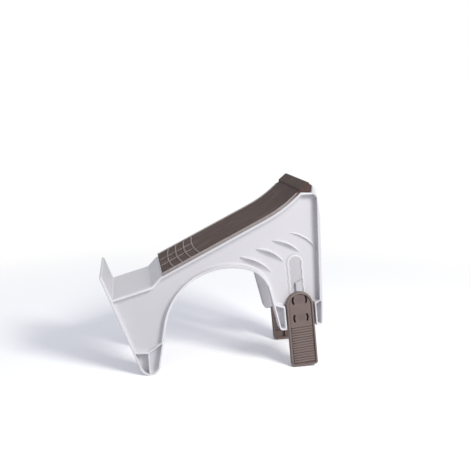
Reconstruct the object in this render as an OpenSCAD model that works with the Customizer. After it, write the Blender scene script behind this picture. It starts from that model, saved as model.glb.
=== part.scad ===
// Adjustable two-tier boot stand. One boot rests on the sloping tray, the other stands
// below it between the side walls. One moulded shell, a snap-in grip mat and two
// slider legs that set the height of the toe end.
// Millimetres. +X towards the raised toe end, +Z up, origin on the floor at the centre.

/* [Shell] */
// Width over the rims of the two side walls
stand_w = 106; // [92:1:124]
// Thickness of the side panels
wall_t = 2.5; // [2:0.1:3]
// Thickness of the tray
deck_t = 2.8; // [2:0.1:3.6]
// Thickness of the rims, seen from the side
rim_t = 2.6; // [2:0.1:3.4]
// Depth of the side panels behind the rims
rim_depth = 7.8; // [6.5:0.1:9.5]
// Thickness of the small ribs of the feet and legs
rib_t = 1.6; // [1.2:0.1:2.2]
// Depth of the stiffening cells of the feet and legs
cell_depth = 12; // [10.5:0.5:14]

/* [Heel end] */
// Distance of the foot from the centre of the stand
foot_x = 73.5; // [68:0.5:78]
// Radius of the rounded foot, on which the stand tips
foot_r = 11.5; // [9.5:0.5:13]
// Lean of the heel edge from the vertical
heel_lean = 21.5; // [19:0.5:24]
// Lean of the arch side of the foot from the vertical
flank_lean = 9; // [6:0.5:11]
// Height of the top of the heel stop
stop_top = 115.5; // [106:0.5:125]
// Thickness of the heel stop
stop_t = 3; // [2.4:0.1:4]
// Radius of the bends at the heel seat
bend_r = 3; // [2:0.5:4]
// Height of the cross rib over the foot cells
foot_rib_z = 27.5; // [24:0.5:30]
// Slope of the slanting rib over the foot cells
foot_rib_slope = 35; // [20:1:45]
// Height of the lower edge of the heel apron
heel_apron_z = 83; // [76:0.5:86]

/* [Tray] */
// Height of the tray over the centre of the stand
tray_z = 144.5; // [140:0.5:152]
// Slope of the tray
tray_pitch = 27.5; // [26.5:0.1:28.5]
// Distance from the centre to where the tray starts to curve up
curve_x = 57; // [50:0.5:60]
// Radius of that curve
curve_r = 150; // [130:1:170]
// Slope of the tray where the curve ends
curve_pitch = 46; // [43:0.5:49]
// Slope of the heel seat
seat_pitch = 16.7; // [14:0.1:20]
// Drop of the heel seat below the line of the tray
seat_drop = 5.5; // [4:0.1:7]
// Distance from the centre to the front of the heel seat
seat_x = 70; // [66:0.5:74]
// Slope of the step between heel seat and tray
step_slope = 48; // [40:1:60]
// Number of stiffening ribs under the tray
deck_ribs = 4; // [2:1:5]
// Depth of the stiffening ribs under the tray
deck_rib_h = 6; // [3:0.5:8]

/* [Arch] */
// Height of the arch crown
arch_z = 118; // [110:0.5:122]
// Distance from the centre to the arch crown
arch_x = 37; // [33:0.5:41]
// Downward slope of the arch at its crown
arch_slope = 14; // [10:0.5:16]
// Radius of the long side of the arch
arch_r = 73; // [60:0.5:76]
// Radius of the short side of the arch
shoulder_r = 36; // [30:0.5:38]
// Distance from the leg's axis to the slope of the arch beside it
shank_gap = 43; // [40:0.5:46]
// Lean of that slope from the vertical
shank_lean = 15.5; // [13:0.5:18]

/* [Toe end] */
// Distance from the foot of the leg's axis to the toe edge, at floor level
toe_gap = 23; // [21:0.5:26]
// Lean of the toe edge from the vertical
toe_lean = 3; // [2:0.1:4]
// Thickness of the toe stop at its foot
toe_stop_t = 9.7; // [8:0.1:12]
// Height of the toe stop above the shelf of the toe bar
toe_stop_h = 9; // [7:0.5:12]
// Slope of the cap behind the toe stop
cap_slope = 47; // [40:1:55]
// Radius of the outer toe corner
cap_r = 8; // [4:0.5:10]
// Height of the lower edge of the toe apron
toe_apron_z = 172; // [164:0.5:184]

/* [Leg and slot] */
// Distance from the centre to the foot of the slider
leg_x = 106; // [104:0.5:107]
// Lean of the leg from the vertical
leg_lean = 6; // [5:0.1:7]
// Spacing of the detents
detent_pitch = 10.6; // [10:0.1:11.4]
// Number of positions of the slider
positions = 5; // [4:1:5]
// Half the width of the slot between the detents
slot_half_w = 6.4; // [6:0.1:7]
// Radius of a detent
detent_r = 7.1; // [6.8:0.1:7.6]
// Length of leg below the lowest detent
slot_margin = 4.4; // [3.5:0.1:6]
// Height of the cells beside the slider, above the end of the leg
leg_cell_h = 27.5; // [22:0.5:34]
// Slope of the ribs over these cells
leg_cell_slope = 24; // [10:1:35]
// Radius of the corners at the end of the leg
leg_end_r = 4; // [2:0.5:5]

/* [Louvres] */
// Length of a louvre
louvre_len = 34; // [30:1:38]
// Rise of its upper edge
louvre_rise = 3.4; // [2.4:0.1:4]
// Sag of its lower edge
louvre_sag = 1.6; // [1:0.1:2.4]

/* [Slider] */
// Width of a slider
slider_w = 31.2; // [29:0.1:32]
// Length of a slider
slider_len = 88.5; // [84:0.5:94]
// Height of the lower stud above the end of the slider
stud_h = 58; // [56:0.5:60]
// Sideways clearance of a slider in its channel
channel_gap = 1.9; // [1.2:0.1:2.4]
// Running clearance of the slider against the leg
slide_gap = 0.3; // [0.2:0.05:0.5]
// Bevel along the front edge of a slider
bevel = 0.8; // [0.4:0.1:1.4]
// Width of the raised border of a slider
border_w = 2; // [1.6:0.1:2.6]
// Height of the border above the face
border_h = 1; // [0.6:0.1:1.2]
// Skin of a slider behind its border
slider_skin = 2.4; // [2.2:0.1:3]
// Radius of the lower corners of a slider
slider_corner = 3.5; // [2:0.1:5]
// Spacing of the cross ribs behind a slider
slider_rib_pitch = 16; // [12:1:20]
// Thickness of a snap arm
arm_t = 1.5; // [1.2:0.1:2]
// Overlap of the snap arm's barb behind the leg
barb = 1.4; // [1.1:0.1:1.8]
// Width of the slits around the snap arms
slit_w = 1.8; // [1.2:0.1:2.2]
// Spacing of the finger ribs
finger_pitch = 3.35; // [3:0.05:3.6]
// Width of the finger ribs
finger_w = 2; // [1.4:0.1:2.2]
// Gap between the ends of the finger ribs and the border
finger_gap = 0.6; // [0.4:0.1:1]
// Height of the lowest finger rib above the end of the slider
finger_start = 5; // [4:0.5:8]
// Number of finger ribs
finger_ribs = 14; // [10:1:14]

/* [Mat] */
// Thickness of the mat
mat_t = 2.2; // [1.6:0.1:3]
// Height of the lips along the sides of the mat
lip_h = 1.2; // [0.6:0.1:2]
// Width of the lips
lip_w = 2; // [1.4:0.1:3]
// Gap between the edge of the mat and the rim
mat_edge = 0.3; // [0.2:0.1:1]
// Distance from the heel step to the start of the mat
mat_start = 4; // [2:0.5:10]
// Height of the toe bar above its shelf
toe_bar_h = 12.6; // [10:0.1:14]
// Distance of the top edge of the toe bar from the toe stop
toe_bar_back = 4; // [3:0.5:6]
// Height of the lower front edge of the toe bar above its shelf
toe_bar_front = 4; // [3:0.5:6]
// Drop of the toe bar below the top of the toe stop, where they touch
toe_bar_drop = 2; // [1:0.5:4]
// Spacing of the curved grip ribs
grip_pitch = 10; // [8:0.5:14]
// Number of grip ribs
grip_ribs = 9; // [5:1:9]
// Height of the grip ribs
grip_h = 0.8; // [0.5:0.1:1.2]
// Diameter of the pegs that hold the mat
peg_d = 5; // [4:0.1:6]
// Clearance of the pegs in their holes
peg_gap = 0.15; // [0.1:0.05:0.3]
// Distance of the pegs from the sides of the stand
peg_inset = 20; // [16:1:26]

/* [Hidden] */
$fn = 64;
beyond = 200;
overrun = 1;
arc_step = 4;
edge_r = 0.8;
fillet_r = 2;
back = rim_depth + wall_t;
cell_back = cell_depth + wall_t;
cell_reach = 40;

// Places along the tray, from its centre: the rows of pegs, the first grip rib, and the
// stretch that has stiffening ribs under it.
peg_rows = [-60, 40];
grip_start = -55;
deck_rib_span = [-50, 60];

// Centre and slope of each louvre.
LOUVRES = [[50, 123, -26], [65, 133, -25], [83, 142, -27], [101, 148, -34]];

// A line is [x, z, direction]. meet() is the point where two of them cross.
function meet(a, b) =
    let (along = ((b[0] - a[0]) * sin(b[2]) - (b[1] - a[1]) * cos(b[2])) / sin(b[2] - a[2]))
    [a[0] + along * cos(a[2]), a[1] + along * sin(a[2])];

// The same line moved to its left.
function shifted(a, by) = [a[0] - by * sin(a[2]), a[1] + by * cos(a[2]), a[2]];

// The corner of two lines with its radius.
function corner(a, b, r) = [each meet(a, b), r];

// The arc that rounds corner q between p and n, moved inwards by inset.
function rounded_corner(p, q, n, inset) =
    let (
        into = atan2(q[1] - p[1], q[0] - p[0]),
        out = atan2(n[1] - q[1], n[0] - q[0]),
        turn = (out - into + 900) % 360 - 180,
        side = turn < 0 ? -1 : 1,
        r = q[2] - side * inset,
        deep = r > 0 ? side * q[2] : inset,
        centre = [
            q[0] - deep * sin(into) - deep * tan(turn / 2) * cos(into),
            q[1] + deep * cos(into) - deep * tan(turn / 2) * sin(into)
        ],
        steps = max(1, ceil(abs(turn) / arc_step))
    )
    r > 0
        ? [for (k = [0:steps]) let (a = into + turn * k / steps)
            [centre[0] + side * r * sin(a), centre[1] - side * r * cos(a)]]
        : [centre];

// A closed outline from corners [x, z, radius], listed anticlockwise, moved inwards by inset.
function rounded(corners, inset = 0) =
    let (count = len(corners))
    [for (k = [0:count - 1])
        each rounded_corner(corners[(k + count - 1) % count], corners[k], corners[(k + 1) % count], inset)];

// The lines of the shell, seen from the side.
heel_line = [-foot_x - foot_r * cos(heel_lean), foot_r - foot_r * sin(heel_lean), heel_lean - 90];
flank_line = [-foot_x + foot_r * cos(flank_lean), foot_r - foot_r * sin(flank_lean), 90 - flank_lean];
crown_line = [arch_x, arch_z, -arch_slope];
shank_z = arch_z - shoulder_r + shoulder_r * sin(shank_lean);
shank_line = [leg_x - shank_gap, shank_z, shank_lean - 90];
toe_line = [leg_x + toe_gap, 0, 90 + toe_lean];
tray_line = [0, tray_z, 180 + tray_pitch];
curve_start = [curve_x, tray_z + curve_x * tan(tray_pitch)];
curve_end = [
    curve_x + curve_r * (sin(curve_pitch) - sin(tray_pitch)),
    curve_start[1] + curve_r * (cos(tray_pitch) - cos(curve_pitch))
];
curve_line = [each curve_end, 180 + curve_pitch];
shelf_z = curve_end[1] + 1;
toe_stop_x = meet(toe_line, [0, shelf_z, 180])[0] - toe_stop_t;
shelf_line = [toe_stop_x, shelf_z, 180];
toe_stop_line = [toe_stop_x, shelf_z, 270 - toe_lean];
cap_line = [each meet(toe_stop_line, [0, shelf_z + toe_stop_h, 180]), 180 - cap_slope];
seat_front = [-seat_x, tray_z - seat_x * tan(tray_pitch) - seat_drop];
seat_line = [each seat_front, 180 + seat_pitch];
step_line = [each seat_front, 180 + step_slope];

// The slider's frame: its end touches the floor at one corner, because the leg leans.
leg_z = (slider_w / 2 - slider_corner) * sin(leg_lean) + slider_corner * (1 - cos(leg_lean));
leg_base = stud_h - detent_r - slot_margin;
base_line = [leg_x - leg_base * sin(leg_lean), leg_z + leg_base * cos(leg_lean), leg_lean];
channel_half_w = slider_w / 2 + channel_gap;
slot_len = (positions + 1) * detent_pitch;
slider_back = rim_depth - slide_gap;

BODY = [
    corner(heel_line, flank_line, foot_r),
    corner(flank_line, crown_line, arch_r),
    corner(crown_line, shank_line, shoulder_r),
    corner(shank_line, base_line, leg_end_r),
    corner(base_line, toe_line, leg_end_r),
    corner(toe_line, cap_line, cap_r),
    corner(cap_line, toe_stop_line, edge_r),
    corner(toe_stop_line, shelf_line, 0),
    corner(shelf_line, curve_line, fillet_r),
    corner(curve_line, tray_line, curve_r),
    corner(tray_line, step_line, bend_r),
    corner(step_line, seat_line, bend_r),
    corner(seat_line, heel_line, fillet_r)
];
stop_foot = shifted(seat_line, deck_t);
stop_edge = [0, stop_top, 0];
stop_r = 0.4 * stop_t;
STOP = [
    corner(heel_line, stop_foot, 0),
    corner(shifted(heel_line, stop_t), stop_foot, 0),
    corner(shifted(heel_line, stop_t), stop_edge, stop_r),
    corner(stop_edge, heel_line, stop_r)
];
TOE_BAR = [
    [curve_end[0] + 1, shelf_z, 0],
    [toe_stop_x, shelf_z, 0],
    [each meet(toe_stop_line, [0, shelf_z + toe_stop_h - toe_bar_drop, 0]), edge_r / 2],
    [toe_stop_x - toe_bar_back, shelf_z + toe_bar_h, fillet_r],
    [curve_end[0] - edge_r, shelf_z + toe_bar_front, fillet_r]
];

// Draws a side view between two depths behind the near rims.
module layer(from, to) {
    translate([0, to - stand_w / 2, 0]) rotate([90, 0, 0]) linear_extrude(to - from) children();
}

// The leg's frame in a side view, with y along the leg from the end of the slider.
module on_leg() {
    translate([leg_x, leg_z]) rotate(leg_lean) children();
}

// The tray's frame, with x up the slope and z out of its face.
module on_tray() {
    translate([0, 0, tray_z]) rotate([0, -tray_pitch, 0]) children();
}

module both_sides() {
    children();
    mirror([0, 1, 0]) children();
}

module rims() {
    difference() {
        polygon(rounded(BODY));
        polygon(rounded(BODY, rim_t));
    }
}

// Everything under the tray and between the two aprons.
module under_tray() {
    low = shifted(tray_line, 3 * deck_t);
    heel_level = [0, heel_apron_z, 0];
    toe_level = [0, toe_apron_z, 0];
    polygon([
        [-beyond, -beyond], [beyond, -beyond], [beyond, toe_apron_z],
        meet(low, toe_level), meet(low, heel_level), [-beyond, heel_apron_z]
    ]);
}

// Tray, aprons and toe stop, seen from the side.
module deck_profile() {
    difference() {
        polygon(rounded(BODY));
        polygon(rounded(BODY, deck_t));
        under_tray();
    }
    polygon(rounded(STOP));
}

// The parts of the foot below its cross rib and its slanting rib, lowered by some distance.
module foot_region(by) {
    end = -foot_x + cell_reach;
    top = foot_rib_z - by;
    polygon([
        [-beyond, -beyond], [end, -beyond], [end, top + cell_reach * tan(foot_rib_slope)],
        [-foot_x, top], [-beyond, top]
    ]);
}

module foot_cells() {
    difference() {
        intersection() {
            polygon(rounded(BODY, rim_t));
            foot_region(rib_t);
        }
        translate([-foot_x - rib_t / 2, -beyond]) square([rib_t, 2 * beyond]);
    }
}

// The parts of the leg on both sides of the slider, from some distance off its axis.
module leg_region(off, by) {
    top = leg_base + leg_cell_h - by;
    end = off + cell_reach / 2;
    end_top = top + (end - off) * tan(leg_cell_slope);
    on_leg() for (way = [0, 1]) mirror([way, 0])
        polygon([[off, -beyond], [end, -beyond], [end, end_top], [off, top]]);
}

module leg_cells() {
    intersection() {
        polygon(rounded(BODY, rim_t));
        leg_region(channel_half_w + rib_t, rib_t);
    }
}

module slot() {
    on_leg() {
        translate([-slot_half_w, stud_h]) square([2 * slot_half_w, slot_len]);
        for (k = [0:positions + 1]) translate([0, stud_h + k * detent_pitch]) circle(detent_r);
    }
}

// A curved louvre: the lens between two arcs over one chord.
module louvre(chord, rise, sag) {
    up_r = (pow(chord / 2, 2) + pow(rise, 2)) / (2 * rise);
    low_r = (pow(chord / 2, 2) + pow(sag, 2)) / (2 * sag);
    intersection() {
        translate([0, rise - up_r]) circle(up_r);
        translate([0, low_r - sag]) circle(low_r);
    }
}

// The louvres climb beside the slope of the tray.
module louvres() {
    for (place = LOUVRES)
        translate([place[0], place[1]]) rotate(place[2]) louvre(louvre_len, louvre_rise, louvre_sag);
}

module side_wall() {
    difference() {
        union() {
            layer(0, back) rims();
            layer(rim_depth, back) polygon(rounded(BODY));
            layer(0, cell_back) intersection() {
                polygon(rounded(BODY));
                foot_region(0);
            }
            layer(0, cell_back) intersection() {
                polygon(rounded(BODY));
                leg_region(channel_half_w, 0);
            }
        }
        layer(-overrun, cell_depth) foot_cells();
        layer(-overrun, cell_depth) leg_cells();
        layer(-overrun, rim_depth) on_leg()
            translate([-channel_half_w, 0]) square([2 * channel_half_w, leg_base + 2 * rim_t]);
        layer(-overrun, cell_back) slot();
        layer(-overrun, rim_depth + wall_t / 2) louvres();
    }
}

peg_y = stand_w / 2 - peg_inset;
peg_places = [for (x = peg_rows, y = [-peg_y, peg_y]) [x, y]];

module shell() {
    color([0.80, 0.80, 0.83]) {
        both_sides() side_wall();
        difference() {
            layer(0, stand_w) deck_profile();
            on_tray() for (p = peg_places)
                translate([p[0], p[1], -2 * deck_t]) cylinder(d = peg_d + 2 * peg_gap, h = 3 * deck_t);
        }
        rib_step = (deck_rib_span[1] - deck_rib_span[0]) / deck_ribs;
        rib_len = stand_w - 2 * back + overrun;
        for (k = [0:deck_ribs - 1]) on_tray()
            translate([deck_rib_span[0] + (k + 0.5) * rib_step, -rib_len / 2, -deck_t - deck_rib_h])
                cube([rib_t, rib_len, deck_rib_h + deck_t / 2]);
    }
}

// The strip that lies on the tray, some distance thick, from the heel step to the toe bar.
module mat_strip(thick) {
    front = shifted([each meet(tray_line, step_line), 90 + tray_pitch], -mat_start);
    low = shifted(tray_line, deck_t);
    end = [curve_end[0] + fillet_r, 0, 90];
    intersection() {
        difference() {
            polygon(rounded(BODY, -thick));
            polygon(rounded(BODY));
        }
        polygon([
            meet(front, low), meet(end, low), [end[0], 2 * beyond], meet(front, [0, 2 * beyond, 0])
        ]);
    }
}

module grip_mat() {
    mat_w = stand_w - 2 * mat_edge;
    color([0.34, 0.28, 0.25]) {
        layer(mat_edge, stand_w - mat_edge) {
            mat_strip(mat_t);
            polygon(rounded(TOE_BAR));
        }
        both_sides() layer(mat_edge, mat_edge + lip_w) mat_strip(mat_t + lip_h);
        on_tray() {
            for (k = [0:grip_ribs - 1]) translate([grip_start + k * grip_pitch, 0, mat_t / 2])
                linear_extrude(mat_t / 2 + grip_h) intersection() {
                    translate([-beyond, 0]) difference() {
                        circle(beyond + rib_t / 2);
                        circle(beyond - rib_t / 2);
                    }
                    square([beyond / 2, mat_w - 4 * lip_w], center = true);
                }
            for (p = peg_places) translate([p[0], p[1], -deck_t - fillet_r])
                cylinder(d = peg_d, h = deck_t + fillet_r + mat_t / 2);
        }
    }
}

// The slider's side view, in the leg's frame, narrowed by some distance all round.
module slider_outline(inset) {
    half = slider_w / 2;
    polygon(rounded([
        [-half, 0, slider_corner], [half, 0, slider_corner],
        [half, slider_len, half - 0.01], [-half, slider_len, half - 0.01]
    ], inset));
}

// Draws a shape of the leg's frame between two depths behind the near rims.
module leg_layer(from, to) {
    layer(from, to) on_leg() children();
}

// One half of a ring, on both sides of the slider's axis.
module half_rings(inner, outer, reach) {
    difference() {
        intersection() {
            circle(outer);
            for (turn = [0, 180]) rotate(turn)
                polygon([[0, 0], [2 * outer, -2 * outer * tan(reach)], [2 * outer, 2 * outer * tan(reach)]]);
        }
        circle(inner);
    }
}

arm_r = slot_half_w - slide_gap;
barb_r = detent_r + barb;
arm_reach = 34;
barb_reach = 18;

module slider_studs() {
    for (k = [0, 2]) {
        leg_layer(slide_gap + slider_skin, back + slide_gap + arm_t)
            translate([0, stud_h + k * detent_pitch]) half_rings(arm_r - arm_t, arm_r, arm_reach);
        leg_layer(back + slide_gap, back + slide_gap + arm_t)
            translate([0, stud_h + k * detent_pitch]) half_rings(arm_r - arm_t, barb_r, barb_reach);
    }
}

module slider() {
    head = slider_len - slider_w / 2;
    front = slide_gap;
    slit_r = barb_r + slit_w / 3;
    finger_len = slider_w - 2 * border_w - 2 * finger_gap;
    difference() {
        union() {
            leg_layer(front + 1.5 * bevel, slider_back) slider_outline(0);
            intersection() {
                leg_layer(front, slider_back) slider_outline(0);
                translate([leg_x, front - stand_w / 2, leg_z]) rotate([0, -leg_lean, 0]) {
                    linear_extrude(head) polygon([
                        [-slider_w / 2, 2 * bevel], [-slider_w / 2, bevel], [-slider_w / 2 + bevel, 0],
                        [slider_w / 2 - bevel, 0], [slider_w / 2, bevel], [slider_w / 2, 2 * bevel]
                    ]);
                    translate([0, 0, head]) rotate([-90, 0, 0]) {
                        cylinder(r1 = slider_w / 2 - bevel, r2 = slider_w / 2, h = bevel);
                        translate([0, 0, bevel]) cylinder(d = slider_w, h = bevel);
                    }
                }
            }
        }
        leg_layer(front + slider_skin, slider_back + overrun) difference() {
            slider_outline(slider_skin);
            for (h = [slider_rib_pitch:slider_rib_pitch:head])
                translate([-slider_w, h]) square([2 * slider_w, rib_t]);
            translate([-rib_t / 2, 0]) square([rib_t, head - 2 * detent_pitch]);
            for (k = [0, 2]) translate([0, stud_h + k * detent_pitch]) circle(slot_half_w);
        }
        leg_layer(-overrun, front + border_h) difference() {
            slider_outline(border_w);
            for (k = [0:finger_ribs - 1])
                translate([-finger_len / 2, finger_start + k * finger_pitch]) square([finger_len, finger_w]);
        }
        for (k = [0, 2]) leg_layer(-overrun, slider_back + overrun)
            translate([0, stud_h + k * detent_pitch]) half_rings(slit_r - slit_w, slit_r, barb_reach);
        for (k = [0, 2]) leg_layer(front + slider_skin, slider_back + overrun)
            translate([0, stud_h + k * detent_pitch]) circle(arm_r - arm_t);
    }
    slider_studs();
}

module near_slider() {
    color([0.44, 0.39, 0.36]) slider();
}

module far_slider() {
    mirror([0, 1, 0]) near_slider();
}

shell();
grip_mat();
near_slider();
far_slider();
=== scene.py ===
import math
import bpy
import numpy as np
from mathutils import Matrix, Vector, geometry


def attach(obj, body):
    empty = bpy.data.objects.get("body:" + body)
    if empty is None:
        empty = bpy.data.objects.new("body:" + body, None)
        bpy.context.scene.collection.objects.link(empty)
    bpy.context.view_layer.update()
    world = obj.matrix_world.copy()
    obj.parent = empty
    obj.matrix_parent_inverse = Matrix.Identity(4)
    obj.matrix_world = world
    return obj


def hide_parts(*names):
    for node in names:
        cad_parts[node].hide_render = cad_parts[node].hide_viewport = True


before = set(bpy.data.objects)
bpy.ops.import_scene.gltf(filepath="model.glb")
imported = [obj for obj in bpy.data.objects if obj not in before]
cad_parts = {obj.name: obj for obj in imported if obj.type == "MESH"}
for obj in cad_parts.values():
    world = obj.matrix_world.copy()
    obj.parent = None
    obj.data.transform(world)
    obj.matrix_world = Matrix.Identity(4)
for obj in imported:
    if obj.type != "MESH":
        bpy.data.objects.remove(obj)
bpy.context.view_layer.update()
scene = bpy.context.scene


# ---- Studio -------------------------------------------------------------------------
# A white sweep lit from the upper right by a square softbox, with an even fill all round.
# The stand is seen from its near side, from a little to the left and above the tray.
camera = bpy.data.objects.new("camera", bpy.data.cameras.new("camera"))
camera.data.lens = 53.617
camera.location = (-0.0962, -0.8048, 0.298)
camera.rotation_euler = (math.radians(79.6), 0, math.radians(-9))
scene.collection.objects.link(camera)
scene.camera = camera
scene.view_settings.view_transform = "Standard"

key = bpy.data.lights.new("key", "AREA")
key.shape, key.size, key.energy, key.color = "SQUARE", 0.3, 7.0, (1, 0.985, 0.955)
key_holder = bpy.data.objects.new("key", key)
key_holder.location = (0.50, -0.72, 0.70)
key_holder.rotation_euler = Vector((-0.50, 0.72, -0.58)).to_track_quat("-Z", "Y").to_euler()
scene.collection.objects.link(key_holder)


class Value:
    """A shader socket on which Python's operators add Math nodes."""

    def __init__(self, paint, socket):
        self.paint, self.socket = paint, socket

    def maths(self, operation, *values):
        return self.paint.node("ShaderNodeMath", {"operation": operation}, dict(enumerate(values)))

    def __add__(self, other):
        return self.maths("ADD", self, other)

    def __sub__(self, other):
        return self.maths("SUBTRACT", self, other)

    def __rsub__(self, other):
        return self.maths("SUBTRACT", other, self)

    def __mul__(self, other):
        return self.maths("MULTIPLY", self, other)

    def __truediv__(self, other):
        return self.maths("DIVIDE", self, other)

    __radd__, __rmul__ = __add__, __mul__

    def clamped(self, low, high):
        """0 below low, 1 above high."""
        return self.paint.node(
            "ShaderNodeMapRange", {"clamp": True}, {"Value": self, "From Min": low, "From Max": high}
        )


class Paint:
    """The node tree of one material."""

    def __init__(self, name, world=False):
        owner = bpy.data.worlds.new(name) if world else bpy.data.materials.new(name)
        owner.use_nodes = True
        self.owner, self.tree = owner, owner.node_tree
        self.tree.nodes.clear()

    def node(self, kind, settings, sockets, out=0):
        """One output of a new node, after its settings and then its sockets are filled in."""
        made = self.tree.nodes.new(kind)
        for name, setting in settings.items():
            setattr(made, name, setting)
        for name, value in sockets.items():
            if isinstance(value, Value):
                self.tree.links.new(value.socket, made.inputs[name])
            else:
                made.inputs[name].default_value = value
        return Value(self, made.outputs[out]) if len(made.outputs) else None

    def blend(self, factor, a, b):
        """Colour a where factor is 0, colour b where it is 1."""
        a, b = [c if isinstance(c, Value) else (*c, 1) for c in (a, b)]
        return self.node("ShaderNodeMix", {"data_type": "RGBA"}, {0: factor, 6: a, 7: b}, 2)

    def noise(self, place, scale, detail, rough):
        return self.node("ShaderNodeTexNoise", {}, {
            "Vector": place, "Scale": scale, "Detail": detail, "Roughness": rough})


world = Paint("studio", world=True)
scene.world = world.owner
seen = world.node("ShaderNodeLightPath", {}, {}, "Is Camera Ray")
glossy = world.node("ShaderNodeLightPath", {}, {}, "Is Glossy Ray")
through = world.node("ShaderNodeLightPath", {}, {}, "Is Transmission Ray")
fill = world.node("ShaderNodeBackground", {}, {"Color": (0.89, 0.91, 1, 1), "Strength": 0.51})
white = world.node("ShaderNodeBackground", {}, {"Color": (1, 1, 1, 1), "Strength": 1})
direct_view = (seen + glossy + through).clamped(0, 1)
sky = world.node("ShaderNodeMixShader", {}, {0: direct_view, 1: fill, 2: white})
world.node("ShaderNodeOutputWorld", {}, {"Surface": sky})

paper = Paint("white_floor")
direct = paper.node("ShaderNodeLightPath", {}, {}, "Is Camera Ray")
tone = paper.blend(direct, (0.74, 0.74, 0.76), (1.42, 1.42, 1.42))
surface = paper.node("ShaderNodeBsdfDiffuse", {}, {"Color": tone})
spot = paper.node("ShaderNodeTexCoord", {}, {}, "Object")
away = paper.node("ShaderNodeVectorMath", {"operation": "LENGTH"}, {0: spot}, "Value")
glow = paper.node("ShaderNodeEmission", {}, {"Color": (1, 1, 1, 1), "Strength": 1})
surface = paper.node("ShaderNodeMixShader", {}, {0: direct * away.clamped(0.22, 0.7), 1: surface, 2: glow})
paper.node("ShaderNodeOutputMaterial", {}, {"Surface": surface})
sweep = bpy.data.meshes.new("floor")
sweep.from_pydata([(-9, -9, 0), (9, -9, 0), (9, 9, 0), (-9, 9, 0)], [], [(0, 1, 2, 3)])
sweep.materials.append(paper.owner)
floor = bpy.data.objects.new("floor", sweep)
scene.collection.objects.link(floor)


# ---- Shell --------------------------------------------------------------------------
# One injection moulding in light grey polypropylene: two side walls with raised rims, and
# between them the sloping tray, heel and toe aprons and the heel stop. Each wall is dished
# behind its rim, with four louvres, ribbed cells in its feet and a slot for its slider.
half_w = 53
rim_t, cell_rim_t, rib_t, draft = 2.6, 1.8, 1.5, 0.2
deck_t = rim_t + draft
# Depths behind the rim: the panel and how much shallower it is at the heel, the wall's back,
# the floors of the cells and the thicker back behind them.
panel_at, heel_raise, wall_back = 7.8, 1.6, 10.3
heel_cell_at, toe_cell_at, leg_cell_at, cell_back = 8.3, 7.4, 9.6, 14.5
toe_cell_cove, slot_moat = 3.5, 3.3


def sin(angle):
    return math.sin(math.radians(angle))


def cos(angle):
    return math.cos(math.radians(angle))


def tan(angle):
    return math.tan(math.radians(angle))


def meet(a, b):
    """Where two lines [x, z, direction] of the side view cross."""
    along = ((b[0] - a[0]) * sin(b[2]) - (b[1] - a[1]) * cos(b[2])) / sin(b[2] - a[2])
    return (a[0] + along * cos(a[2]), a[1] + along * sin(a[2]))


def shifted(line, by):
    """The same line moved to its left."""
    return (line[0] - by * sin(line[2]), line[1] + by * cos(line[2]), line[2])


def corner(a, b, radius):
    return (*meet(a, b), radius)


def rounded(corners, inset=0, arc_step=4):
    """A closed outline from corners (x, z, radius), listed anticlockwise, moved inwards."""
    loop = []
    for k, (x, z, radius) in enumerate(corners):
        before, after = corners[k - 1], corners[(k + 1) % len(corners)]
        into = math.atan2(z - before[1], x - before[0])
        out = math.atan2(after[1] - z, after[0] - x)
        turn = (out - into + math.pi) % (2 * math.pi) - math.pi
        side = -1 if turn < 0 else 1
        r = radius - side * inset
        deep = side * radius if r > 0 else inset
        slack = deep * math.tan(turn / 2)
        cx = x - deep * math.sin(into) - slack * math.cos(into)
        cz = z + deep * math.cos(into) - slack * math.sin(into)
        if r <= 0:
            loop.append((cx, cz))
            continue
        steps = max(1, math.ceil(abs(math.degrees(turn)) / arc_step))
        for a in (into + turn * i / steps for i in range(steps + 1)):
            loop.append((cx + side * r * math.sin(a), cz - side * r * math.cos(a)))
    return loop


def divided(line, longest, closed=True):
    """The same line with no stretch between two points longer than the longest."""
    points = np.array(line)
    ends = np.roll(points, -1, 0) if closed else points[1:]
    out = []
    for a, b in zip(points, ends):
        count = max(1, math.ceil(np.hypot(*(b - a)) / longest))
        out += [tuple(a + (b - a) * i / count) for i in range(count)]
    return out if closed else out + [tuple(points[-1])]


def inside(points, loop):
    """How far points lie inside a closed loop, below 0 outside, and the nearest stretch."""
    a = np.array(loop)
    b = np.roll(a, -1, 0)
    run = b - a
    far, near = np.empty(len(points)), np.empty(len(points), int)
    for k in range(0, len(points), 2000):
        p = points[k:k + 2000, None]
        share = np.clip(((p - a) * run).sum(-1) / (run ** 2).sum(-1), 0, 1)
        gap = np.hypot(*np.moveaxis(p - a - share[..., None] * run, -1, 0))
        rise = np.where(run[:, 1] == 0, 1e-9, run[:, 1])
        level = (a[:, 1] > p[..., 1]) != (b[:, 1] > p[..., 1])
        hits = level & (p[..., 0] < a[:, 0] + run[:, 0] * (p[..., 1] - a[:, 1]) / rise)
        near[k:k + 2000] = gap.argmin(1)
        far[k:k + 2000] = gap.min(1) * np.where(hits.sum(1) % 2, 1, -1)
    return far, near


def wall(s, lip, cove, deep):
    """Depth beside a raised edge at distance s: a rounded lip, a steep wall, a hollow cove
    and the floor."""
    over = lip - np.sqrt(np.maximum(lip ** 2 - np.maximum(s + lip, 0) ** 2, 0))
    foot = deep - cove
    steep = lip + (foot - lip) * np.clip(s / draft, 0, 1)
    hollow = foot + np.sqrt(np.maximum(cove ** 2 - np.maximum(cove + draft - s, 0) ** 2, 0))
    return np.where(s < 0, over, np.where(s < draft, steep, hollow))


def edge_round(s, radius):
    return radius - np.sqrt(np.maximum(radius ** 2 - np.maximum(radius - s, 0) ** 2, 0))


def spread(low, high, step):
    """Loose points in a box, in staggered rows."""
    rows = np.arange(low[1], high[1], step * 0.866)
    return [(x + (i % 2) * step / 2, z) for i, z in enumerate(rows) for x in np.arange(low[0], high[0], step)]


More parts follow.
